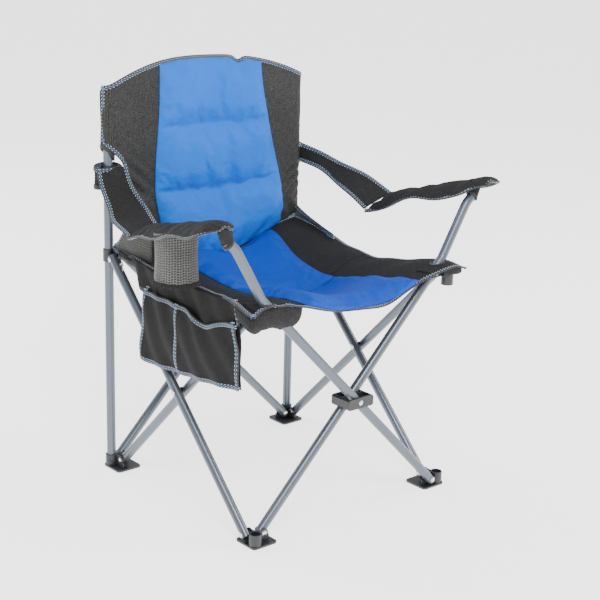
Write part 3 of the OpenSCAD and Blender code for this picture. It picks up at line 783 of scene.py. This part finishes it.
class Pad:
    """A stuffed piece, kept flat for the cloth solver and then laid on its place."""

    def __init__(self, name, place, size, seams, height, step=0.006, thin=0.0010):
        self.name, self.place, self.size, self.seams = name, place, size, seams
        self.thin = thin
        self.ns = int(size[0] / step) + 1
        self.nt = int(size[1] / step) + 1
        self.s, self.t = np.meshgrid(np.linspace(0, 1, self.ns), np.linspace(0, 1, self.nt), indexing="ij")
        self.top = pad_profile(self.s, self.t, size, seams, height)
        self.moved = None

    def solver(self):
        """The flat pad as a closed bag, pinned at its back, its edges and its seams."""
        count = self.ns * self.nt
        rough = self.top * (0.94 + 0.06 * RANDOM.random(self.top.shape))
        x, y = self.s * self.size[0], self.t * self.size[1]
        points = np.concatenate([point(x, y, rough).reshape(-1, 3), point(x, y, -self.thin).reshape(-1, 3)])
        bag = new_object(self.name + "_solver", points, slab_faces(self.ns, self.nt), [])
        pins = set(rim_of(self.ns, self.nt)) | set(range(count, 2 * count))
        for seam in self.seams:
            row = int(round(seam * (self.nt - 1)))
            pins |= {i * self.nt + row for i in range(self.ns)}
        group = bag.vertex_groups.new(name="pins")
        group.add(sorted(pins), 1.0, "REPLACE")
        solver = bag.modifiers.new("Cloth", "CLOTH")
        solver.settings.quality = 5
        solver.settings.mass = 0.2
        solver.settings.tension_stiffness = 20
        solver.settings.compression_stiffness = 20
        solver.settings.bending_stiffness = 0.4
        solver.settings.use_pressure = True
        solver.settings.uniform_pressure_force = PRESSURE
        solver.settings.shrink_min = -0.045
        solver.settings.vertex_group_mass = "pins"
        solver.settings.effector_weights.gravity = 0.0
        solver.point_cache.frame_start = 1
        solver.point_cache.frame_end = SIM_FRAMES
        return bag

    def unpuffed(self):
        return point(self.s * self.size[0], self.t * self.size[1], self.top)

    def read(self, bag):
        """Takes the solver's result, with no point moved further than its limits."""
        graph = bpy.context.evaluated_depsgraph_get()
        mesh = bag.evaluated_get(graph).to_mesh()
        co = np.zeros(len(mesh.vertices) * 3)
        mesh.vertices.foreach_get("co", co)
        count = self.ns * self.nt
        moved = co.reshape(-1, 3)[:count].reshape(self.ns, self.nt, 3)
        rest = self.unpuffed()
        self.moved = rest + np.clip(moved - rest, -MAX_SINK, MAX_RISE)

    def build(self, material):
        """The pad in place: its front as puffed, and a back against the cloth."""
        flat = self.unpuffed() if self.moved is None else self.moved
        s = np.clip(flat[..., 0] / self.size[0], 0, 1)
        t = np.clip(flat[..., 1] / self.size[1], 0, 1)
        rise = np.maximum(flat[..., 2], LEAST_RISE)
        front = self.place(s, t, rise)
        back = self.place(self.s, self.t, -self.thin * 0.4 + 0 * rise)
        points = np.concatenate([front.reshape(-1, 3), back.reshape(-1, 3)])
        cut = np.concatenate([flat.reshape(-1, 3)] * 2) * [1, 1, 0]
        made = new_object(self.name, points, slab_faces(self.ns, self.nt), [material], cut)
        smooth = made.modifiers.new("Subdivision", "SUBSURF")
        smooth.levels = smooth.render_levels = 1
        graph = bpy.context.evaluated_depsgraph_get()
        done = bpy.data.meshes.new_from_object(made.evaluated_get(graph))
        made.modifiers.clear()
        made.data = done
        return made


def puff(pads):
    """One pass of the cloth solver for all the pads."""
    bags = [pad.solver() for pad in pads]
    scene = bpy.context.scene
    scene.frame_start, scene.frame_end = 1, SIM_FRAMES
    for number in range(1, SIM_FRAMES + 1):
        scene.frame_set(number)
    for pad, bag in zip(pads, bags):
        pad.read(bag)
        bpy.data.objects.remove(bag)
    scene.frame_set(1)


# ---------- shape of the arms ----------

CREASE_HALF = 0.041
PAD_OUTER, PAD_INNER = 0.056, 0.049
PAD_LEAN = np.array((0.0, 0.22, 0.97))


def round_end(t, start, length, power, least):
    """1 up to start and then down in a curve to the end of a pad."""
    return np.sqrt(np.clip(1 - (np.clip(t - start, 0, 1) / length) ** power, least, 1))


class Arm:
    """One armrest: a pad from its crease to its tip, and the strap from the post to the crease."""

    def __init__(self, side, crease, tip, tilt, droop, keep, tube_end, strap_inner, strap_outer):
        self.side = side
        self.name = "right" if side == RIGHT else "left"
        self.crease, self.tip = Vector(crease), Vector(tip)
        self.tilt, self.droop = tilt, droop
        self.squash = ((self.crease - self.tip).normalized(), tube_end, keep)
        self.lines = [line_through(line, 60) for line in (strap_inner, strap_outer)]

    def pad_point(self, s, t, h):
        """s across from the outer edge to the inner, t from the crease to the tip, h up."""
        outer = mix(CREASE_HALF, PAD_OUTER, ease(t / 0.8)) * round_end(t, 0.86, 0.144, 2.6, 0.01)
        inner = mix(CREASE_HALF, PAD_INNER, ease(t / 0.6)) * round_end(t, 0.62, 0.385, 2.4, 0.02)
        across = mix(outer, -inner, s)
        line = np.array(self.crease)[None, :] + t[..., None] * np.array(self.tip - self.crease)
        hanging = self.droop * s ** 2 * ease((t - 0.45) / 0.35) * (1 - 0.8 * ease((t - 0.84) / 0.16))
        tilt = self.tilt * (0.5 - s) * (1 - ease(t / 0.5)) - hanging
        edge = np.abs(2 * s - 1) ** 2
        wave = (0.0030 * np.sin(t * 13 + s * 3) - 0.005) * edge + 0.004 * ease((t - 0.8) / 0.2)
        return line + point(self.side * across, 0, tilt) + PAD_LEAN * (h + wave)[..., None]

    def pad_outline(self):
        """Once along the pad's edge, from the crease round the tip and back."""
        t = np.linspace(0, 1, 60)
        zero = np.zeros_like(t)
        outer = self.pad_point(zero, t, zero)
        tip = self.pad_point(np.linspace(0, 1, 20), np.ones(20), np.zeros(20))
        inner = self.pad_point(zero + 1, t[::-1], zero)
        path = evenly(np.concatenate([outer, tip[1:-1], inner]), 150)
        middle = np.array(self.crease + (self.tip - self.crease) * 0.5)
        return frame_on(path, middle - path)

    def strap_at(self, u, v):
        """u from the post to the crease, v from the lower, inner edge to the upper, outer one."""
        at = np.linspace(0, 1, 60)
        low, high = [np.stack([np.interp(u, at, line[:, k]) for k in range(3)], axis=-1)
                     for line in self.lines]
        slack = hang(2 * u - 1)
        fold = 0.0022 * np.sin(v * 8 + u * 7) * slack
        dish = -0.004 * np.sin(np.pi * v) * slack
        return mix(low, high, v[..., None]) + point(self.side * fold, fold, fold + dish)


ARM_RIGHT = Arm(
    side=RIGHT, crease=(-0.285, 0.070, 0.566), tip=(-0.345, -0.272, 0.652), tilt=-0.002, droop=0.0,
    keep=0.72, tube_end=(-0.3368, -0.2555, 0.6254),
    strap_inner=[(-0.2185, 0.2280, 0.6640), (-0.2235, 0.2020, 0.6370), (-0.2300, 0.1660, 0.6170),
                 (-0.2440, 0.0740, 0.5680)],
    strap_outer=[(-0.2800, 0.2440, 0.6650), (-0.2850, 0.2260, 0.6330), (-0.2960, 0.1870, 0.5990),
                 (-0.3080, 0.1500, 0.5780), (-0.3260, 0.0740, 0.5680)])
ARM_LEFT = Arm(
    side=LEFT, crease=(0.290, 0.005, 0.568), tip=(0.345, -0.266, 0.652), tilt=0.026, droop=0.014,
    keep=0.95, tube_end=(0.3368, -0.2325, 0.6254),
    strap_inner=[(0.2645, 0.2470, 0.6225), (0.2640, 0.1700, 0.6120), (0.2560, 0.0800, 0.5860),
                 (0.2500, 0.0080, 0.5570)],
    strap_outer=[(0.2700, 0.2520, 0.6630), (0.2960, 0.1780, 0.6420), (0.3150, 0.0800, 0.6150),
                 (0.3310, 0.0080, 0.5830)])


# ---------- pieces ----------

FOLD_X = ((1, 0, 0), (-HALF, 0, 0), FOLD_KEEP)
SEAT_X = ((1, 0, 0), (-0.217, 0, 0), 0.13)
POST_Y = ((0, 1, 0), (0, HALF, 0), 0.5)

BACK_PAD = Pad("back_pad", back_pad_point, (0.315, 0.420), (0.335, 0.675), 0.013)
SEAT_PAD_FRONT = Pad("seat_pad_front", seat_pad_point(SEAT_FRONT_Y - 0.004, -0.022),
                     (0.295, 0.245), (), 0.012)
SEAT_PAD_REAR = Pad("seat_pad_rear", seat_pad_point(-0.018, SEAT_BACK_Y - 0.012),
                    (0.290, 0.243), (), 0.012)
ARM_PADS = [Pad("arm_pad_" + arm.name, arm.pad_point, (0.098, length), (), 0.009, step=0.005, thin=0.006)
            for arm, length in ((ARM_RIGHT, 0.340), (ARM_LEFT, 0.285))]


def build_back():
    follow = follower("root", FOLD_X)
    sheet = cloth("back_cloth", back_at, 91, 81, (0.475, 0.400), CHARCOAL)
    dress([sheet], follow)
    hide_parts("back_rest")
    pad = BACK_PAD.build(BLUE_BACK)
    dress([pad], follow)
    on_it = bound_edge("back_top", edge_frame(back_at, "v1", 110), follow)
    for side, edge in (("right", "u0"), ("left", "u1")):
        on_it += bound_edge("back_side_" + side, edge_frame(back_at, edge, 90, 0.02, 1.0), follow)


def sleeve_place(side):
    """Tube of cloth around a post, behind the edge of the back, closed over the post's end."""
    def place(u, v):
        angle = 2 * np.pi * u
        r = SLEEVE_R + 0.0006 * np.sin(3 * angle + 8 * v)
        closing = 1 - 0.85 * ease((v - 0.97) / 0.03)
        x = side * (HALF - r * np.cos(angle) * closing)
        slant = side * (x - side * HALF) / SLEEVE_R
        top = SLEEVE_TOP_Z + 0.0015 * slant
        bottom = SLEEVE_Z + 0.014 * slant
        return point(x, HALF + r * np.sin(angle) * closing, mix(bottom, top, v))
    return place


def build_sleeve(side, body, node):
    name = "back_sleeve_cloth_" + ("right" if side == RIGHT else "left")
    follow = follower(body)
    place = sleeve_place(side)
    sleeve = tube_cloth(name, place, 32, 30, (0.088, 0.135), CHARCOAL)
    dress([sleeve], follow)
    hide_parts(node)
    hem_path = place(np.linspace(0, 1, 40), np.zeros(40))
    hem = frame_on(hem_path, np.tile((0.0, 0.0, 1.0), (40, 1)))
    made = bound_edge(name + "_hem", hem, follow, False)


def build_seat():
    front_end, rear_start = SEAT_SPLIT_Y - SPLIT_GAP / 2, SEAT_SPLIT_Y + SPLIT_GAP / 2
    halves = (("seat_front", "seat_front_half", None, front_end, SEAT_PAD_FRONT, "v0", "_lip"),
              ("seat_rear", "seat_rear_half", rear_start, None, SEAT_PAD_REAR, "v1", "_rear_edge"))
    for name, body, y0, y1, pad_shape, across, across_name in halves:
        follow = follower(body, SEAT_X)
        place = seat_half_at(y0, y1)
        sheet = cloth(name + "_cloth", place, 91, 45, (0.53, 0.25), CHARCOAL_SEAT)
        dress([sheet], follow)
        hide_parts(name)
        pad = pad_shape.build(BLUE_SEAT_SHADED)
        dress([pad], follow)
        made = []
        for edge in ("u0", "u1"):
            made += bound_edge(name + "_side_" + edge, edge_frame(place, edge, 50), follow)
        made += bound_edge(name + across_name, edge_frame(place, across, 110), follow)


def build_arm(arm, pad_shape, arm_body, strap_body, strap_keep):
    """The pad and the strap of one armrest."""
    follow = follower(arm_body, arm.squash)
    pad = pad_shape.build(CHARCOAL_ARM)
    dress([pad], follow)
    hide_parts("arm_pad_" + arm.name)
    bound_edge("arm_pad_" + arm.name, arm.pad_outline(), follow)
    follow = follower(strap_body, ((0, 1, 0), (0, HALF, 0), strap_keep))
    strap = cloth("arm_strap_cloth_" + arm.name, arm.strap_at, 50, 16, (0.20, 0.055), CHARCOAL_ARM, STRAP_T)
    dress([strap], follow)
    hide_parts("arm_strap_" + arm.name)
    made = []
    for side in ("v0", "v1"):
        edge = edge_frame(arm.strap_at, side, 60)
        made += bound_edge("arm_strap_" + arm.name + "_" + side, edge, follow)


def build_strap_loop(arm, strap_body, reach, cut):
    """End of an armrest's strap, sewn into a loop round the post."""
    depth = 0.0160
    bottom, top = 0.6215, 0.6645

    def place(u, v):
        angle = 2 * np.pi * u
        around = np.sin(angle)
        wide = reach * (1 - 0.06 * np.sin(3 * v))
        y = HALF + depth * np.abs(around) ** 0.8 * np.sign(around)
        rise = 0.006 * np.clip(around, 0, 1) * v
        return point(arm.side * HALF + wide * np.cos(angle), y, mix(bottom, top, v) + rise)

    follow = follower(strap_body)
    name = "arm_strap_loop_" + arm.name
    loop = tube_cloth(name, place, 28, 8, cut, CHARCOAL_ARM)
    dress([loop], follow)
    hems = []
    for v, up in ((0.0, 1.0), (1.0, -1.0)):
        ring = place(np.linspace(0, 1, 40), np.full(40, v))
        hem = frame_on(ring, np.tile((0.0, 0.0, up), (40, 1)))
        hems += bound_edge(name + str(int(v)), hem, follow, v == 1.0)


def around_cup(angle, r, z):
    return point(CUP_AXIS.x + r * np.cos(angle), CUP_AXIS.y + r * np.sin(angle), z)


def build_cup():
    """Mesh cup hanging from the right arm pad, with a gathered bottom."""
    follow = follower("arm_right", ((0, 0, 1), (CUP_AXIS.x, CUP_AXIS.y, 0.600), 0.25))

    def wall(u, v):
        angle = 2 * np.pi * u
        r = CUP_R * (1 + 0.012 * np.sin(5 * angle + 3 * v) + 0.010 * np.sin(11 * angle) * (1 - v))
        r = r - 0.0025 * np.sin(np.pi * v)
        top = CUP_TOP_Z - CUP_SLOPE * r * np.sin(angle)
        bottom = CUP_Z + 0.0015 * np.sin(13 * angle)
        return around_cup(angle, r, mix(bottom, top, v))

    def base(u, v):
        return around_cup(2 * np.pi * u, CUP_R * 0.985 * (1 - v) + 0.0015, CUP_Z + 0.003 + 0 * v)

    def frill(u, v):
        angle = 2 * np.pi * u
        r = CUP_R + 0.001 + 0.0022 * np.sin(23 * angle) * v + 0.002 * v
        return around_cup(angle, r, CUP_Z + 0.004 - (0.007 + 0.0025 * np.sin(17 * angle)) * v)

    cup = tube_cloth("cup_holder_mesh", wall, 72, 26, (0.27, 0.10), MESH_CUP, 0.0014)
    bottom = tube_cloth("cup_holder_base", base, 48, 8, (0.27, 0.04), CHARCOAL_ARM)
    ruffle = tube_cloth("cup_holder_ruffle", frill, 120, 4, (0.27, 0.01), CHARCOAL_ARM)
    dress([cup], follow)
    dress([bottom, ruffle], follow)
    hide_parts("cup_holder")


def build_gusset(side, body, node):
    """Mesh triangle between the back's side edge, the seat's and the post."""
    def place(u, v):
        y = mix(0.234, 0.100, u)
        low = 0.486 - 0.016 * u
        if side == RIGHT:
            high = mix(0.503, 0.552, ease(u / 0.42))
        else:
            high = mix(0.530, 0.4800, u ** 0.7)
        bulge = 0.005 * np.sin(np.pi * u) * np.sin(np.pi * v)
        return point(side * (GUSSET_X + bulge), y, mix(low, high, v))

    follow = follower(body, POST_Y)
    name = "side_mesh_" + ("right" if side == RIGHT else "left")
    panel = cloth(name, place, 30, 14, (0.134, 0.070), MESH_SIDE, 0.0012)
    dress([panel], follow)
    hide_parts(node)
    made = []
    for edge in ("v0", "v1"):
        made += bound_edge(name + "_" + edge, edge_frame(place, edge, 40), follow)


def build_skirt():
    """Strip of cloth under the seat's right edge, from the slider to the organiser."""
    def place(u, v):
        y = mix(0.206, 0.050, u)
        low = 0.480 - 0.006 * u - 0.040 * ease((u - 0.42) / 0.18)
        high = seat_height(-SEAT_HALF, y) + 0.001
        x = mix(-0.2560, POCKET_X + 0.002, ease(u * 1.4)) + 0.002 * np.sin(u * 17 + v * 3)
        return point(x, y, mix(low, high, v))

    follow = follower("right_slider", POST_Y)
    skirt = cloth("side_skirt", place, 40, 16, (0.156, 0.045), CHARCOAL_POCKET)
    dress([skirt], follow)
    hem = bound_edge("side_skirt_hem", edge_frame(place, "v0", 60), follow, False)


def pocket_layer(offset, top_line, belly):
    """A layer of the hanging organiser, offset outward from its back panel."""
    def place(u, v):
        y = mix(POCKET_REAR_Y, POCKET_FRONT_Y, u)
        low = mix(0.296, 0.316, ease(u * 1.1)) - 0.006 * np.sin(np.pi * u)
        sway = 0.004 * np.sin(u * 9 + 1) * (1 - v) + 0.0022 * np.sin(u * 31 + v * 9)
        full = np.sin(np.pi * np.clip(u, 0, 1)) * (0.35 + 0.65 * np.sin(np.pi * v))
        lean = 0.006 * np.sin(v * 3 + 1) * (1 - 2 * u)
        return point(POCKET_X - offset - belly * full - sway, y + lean, mix(low, top_line(u), v))
    return place


def pocket_back_top(u):
    y = mix(POCKET_REAR_Y, POCKET_FRONT_Y, u)
    return mix(0.445, seat_height(-SEAT_HALF, y) + 0.001, ease(u / 0.25))


def pocket_hem(u):
    return 0.441 - 0.020 * bell(u, 0.68, 0.13) + 0.004 * ease((u - 0.85) / 0.15)


def build_divider(place, follow):
    """Seam down the front panel that makes two pockets of it."""
    v = np.linspace(0.02, 0.98, 50)
    u = np.full_like(v, 0.40)
    line = place(u, v)
    path, into, normal = frame_on(line, place(u + 0.02, v) - line)
    normal = normal * np.where(normal[:, :1] < 0, 1.0, -1.0)
    divider = sweep("side_pocket_divider", path, into, normal, STRIP, TAPE_CLOTH)
    sewn = stitches("side_pocket_divider_stitching", path, into, normal, 0.0019, False, 0.0)
    dress([divider, sewn], follow)
    return [divider, sewn]


def build_pocket():
    follow = follower("corner_right", ((0, 1, 0), (0, -0.2, 0), 0.30))
    back_place = pocket_layer(-0.001, pocket_back_top, 0.002)
    front_place = pocket_layer(0.005, pocket_hem, 0.011)
    back = cloth("side_pocket_back", back_place, 64, 34, (0.305, 0.165), CHARCOAL_POCKET)
    front = cloth("side_pocket_front_panel", front_place, 80, 40, (0.310, 0.130), CHARCOAL_POCKET)
    dress([back, front], follow)
    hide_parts("side_pocket")
    on_back = bound_edge("side_pocket_rear_edge", edge_frame(back_place, "u0", 50, 0.78, 1.0), follow)
    on_back += bound_edge("side_pocket_front_edge", edge_frame(back_place, "u1", 50, 0.74, 1.0), follow)
    made = []
    for edge in ("u0", "u1", "v0", "v1"):
        made += bound_edge("side_pocket_" + edge, edge_frame(front_place, edge, 90), follow)
    made += build_divider(front_place, follow)


def build_corner(side, tube_x, tube_y):
    """Reinforcing patch round an arm tube at a front corner of the seat."""
    name = "corner_patch_" + ("right" if side == RIGHT else "left")
    follow = follower("seat_front_half", SEAT_X)
    seat = seat_half_at(None, SEAT_SPLIT_Y)

    def place(u, v):
        across = 0.020 + 0.125 * v
        on_seat = seat(across if side == RIGHT else 1 - across, mix(0.030, 0.185, u))
        return on_seat + point(0, 0, 0.0020)

    patch = cloth(name, place, 22, 22, (0.052, 0.070), CHARCOAL_SEAT, 0.0014)
    angle = np.linspace(0, 2 * math.pi, 40)
    x = tube_x + 0.0150 * np.cos(angle)
    y = tube_y + 0.0118 * np.sin(angle)
    ring = point(x, y, seat_height(x, y) + 0.0030)
    hole = frame_on(ring, ring - ring.mean(0))
    dress([patch, sweep(name + "_hem", *hole, RING_HEM, TAPE_CLOTH)], follow)


def build_boot(side, body, middle, depth, reach_front, reach_side):
    """Rounded pouch of cloth under a front corner of the seat, around its bracket."""
    side_name = "right" if side == RIGHT else "left"
    seat = seat_half_at(None, SEAT_SPLIT_Y)
    corners = ((reach_front, 0.004), (reach_front * 0.55, 0.002), (0.035, 0.008), (0.008, 0.050),
               (0.004, reach_side * 0.6), (0.004, reach_side))
    rim = line_through([seat(np.array(a if side == RIGHT else 1 - a), np.array(b)) for a, b in corners], 48)
    rim_at = np.linspace(0, 1, len(rim))

    def place(u, v):
        edge = np.stack([np.interp(u, rim_at, rim[:, k]) for k in range(3)], axis=-1)
        drop = np.sin(v * np.pi / 2)
        reach = mix(0.25, 1.0, np.cos(v * np.pi / 2 * 0.97) ** 0.5)
        bulge = depth * 0.32 * np.sin(v * np.pi) ** 0.6 * (1 - np.abs(2 * u - 1) ** 3)
        wrinkle = 0.0012 * np.sin(u * 33 + v * 6) * v
        x = mix(middle[0], edge[..., 0] + side * bulge, reach) + wrinkle
        y = mix(middle[1], edge[..., 1] - bulge, reach) - wrinkle
        return point(x, y, edge[..., 2] - 0.0008 - depth * drop)

    boot = cloth("corner_boot_" + side_name, place, 48, 18, (0.16, 0.05), CHARCOAL_ARM)
    dress([boot], follower(body))


def build_tie():
    """White tape that ties the seat's right edge to the tube beside the slider."""
    line = line_through([(-0.252, 0.196, 0.472), (-0.2545, 0.212, 0.459), (-0.2475, 0.219, 0.452),
                         (-0.2410, 0.212, 0.462), (-0.2480, 0.203, 0.467), (-0.2550, 0.192, 0.455)], 60)
    path, into, normal = frame_on(line, np.tile((0.3, 0.8, 0.5), (60, 1)))
    dress([sweep("seat_tie", path, into, normal, TIE, TIE_WHITE)], follower("right_slider"))


def build_arm_pocket(arm, body, node):
    """Small pouch of cloth under the pad that the end of the arm tube sits in."""
    end = Vector(arm.squash[1])
    along = Vector((arm.side * TUBE_LEAN[0], 0.0, TUBE_LEAN[1]))
    low = np.array(end - along * 0.010)
    high = np.array((end.x + arm.side * 0.003, end.y + 0.001, 0.6520))

    def place(u, v):
        angle = 2 * np.pi * u
        r = mix(0.0120, 0.0135, ease(v)) + 0.0004 * np.sin(4 * angle + 3 * v)
        lean = mix(1.0, 0.0, ease(v))
        across = point(TUBE_LEAN[1] * lean + 1 - lean, 0, -TUBE_LEAN[0] * arm.side * lean)
        around = unit(across) * (r * np.cos(angle))[..., None]
        return mix(low, high, v[..., None]) + around + point(0, r * np.sin(angle), 0)

    follow = follower(body)
    cup = tube_cloth(node + "_cloth", place, 32, 12, (0.095, 0.030), CHARCOAL_ARM)
    dress([cup], follow)
    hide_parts(node)
    ring = place(np.linspace(0, 1, 40), np.zeros(40))
    made = bound_edge(node + "_hem", frame_on(ring, high - ring), follow, False)


# ---------- studio ----------

FLOOR_HALF = 60.0
FLOOR_Z = -0.0004
LAMPS = (("key", (-1.6, -2.6, 3.0), 1.6, 120.0), ("side", (2.8, -1.4, 2.2), 1.4, 55.0),
         ("back", (-0.6, 2.8, 2.6), 1.8, 60.0))
LAMP_TARGET = Vector((0.0, 0.0, 0.5))
CAMERA_AT = (-1.858118, -2.208353, 1.263572)
CAMERA_ACROSS = Vector((0.758764, -0.65085, 0.025899))
CAMERA_UP = Vector((0.16866, 0.234718, 0.95732))
LENS, SENSOR = 86.31, 36.0


def build_studio():
    corners = [(x * FLOOR_HALF, y * FLOOR_HALF, FLOOR_Z) for x, y in ((-1, -1), (1, -1), (1, 1), (-1, 1))]
    new_object("floor", corners, [(0, 1, 2, 3)], [pale_floor()])
    world = bpy.data.worlds.new("studio")
    world.use_nodes = True
    background = world.node_tree.nodes["Background"].inputs
    background["Color"].default_value = (1.0, 1.0, 1.0, 1.0)
    background["Strength"].default_value = 1.0
    bpy.context.scene.world = world
    for name, place, width, power in LAMPS:
        light = bpy.data.lights.new(name, "AREA")
        light.size = width
        light.energy = power
        lamp = bpy.data.objects.new(name, light)
        lamp.location = place
        lamp.rotation_euler = (LAMP_TARGET - Vector(place)).to_track_quat("-Z", "Y").to_euler()
        bpy.context.scene.collection.objects.link(lamp)


def build_camera():
    """Stands at the front right of the chair and a little above it."""
    lens = bpy.data.cameras.new("camera")
    lens.sensor_width = SENSOR
    lens.lens = LENS
    axes = Matrix((CAMERA_ACROSS, CAMERA_UP, CAMERA_ACROSS.cross(CAMERA_UP))).transposed()
    camera = bpy.data.objects.new("camera", lens)
    camera.matrix_world = Matrix.Translation(CAMERA_AT) @ axes.to_4x4()
    bpy.context.scene.collection.objects.link(camera)
    bpy.context.scene.camera = camera


# ---------- the chair ----------

paint_frame()
puff([BACK_PAD, SEAT_PAD_FRONT, SEAT_PAD_REAR] + ARM_PADS)
build_back()
build_sleeve(RIGHT, "root", "back_sleeve_right")
build_sleeve(LEFT, "rear_left_post", "back_sleeve_left")
build_seat()
build_arm(ARM_RIGHT, ARM_PADS[0], "arm_right", "strap_right", 0.45)
build_strap_loop(ARM_RIGHT, "strap_right", 0.0310, (0.140, 0.042))
build_arm(ARM_LEFT, ARM_PADS[1], "arm_left", "strap_left", 0.35)
build_strap_loop(ARM_LEFT, "strap_left", 0.0160, (0.095, 0.042))
build_arm_pocket(ARM_RIGHT, "front_outer", "arm_pocket_right")
build_arm_pocket(ARM_LEFT, "front_inner", "arm_pocket_left")
build_cup()
build_gusset(RIGHT, "right_slider", "gusset_right")
build_gusset(LEFT, "left_slider", "gusset_left")
build_skirt()
build_pocket()
build_corner(RIGHT, -0.2365, -0.2555)
build_corner(LEFT, 0.2365, -0.2325)
build_boot(RIGHT, "corner_right", (-0.2300, -0.2400), 0.040, 0.20, 0.25)
build_boot(LEFT, "corner_left", (0.2450, -0.2450), 0.016, 0.10, 0.14)
build_tie()
build_studio()
build_camera()
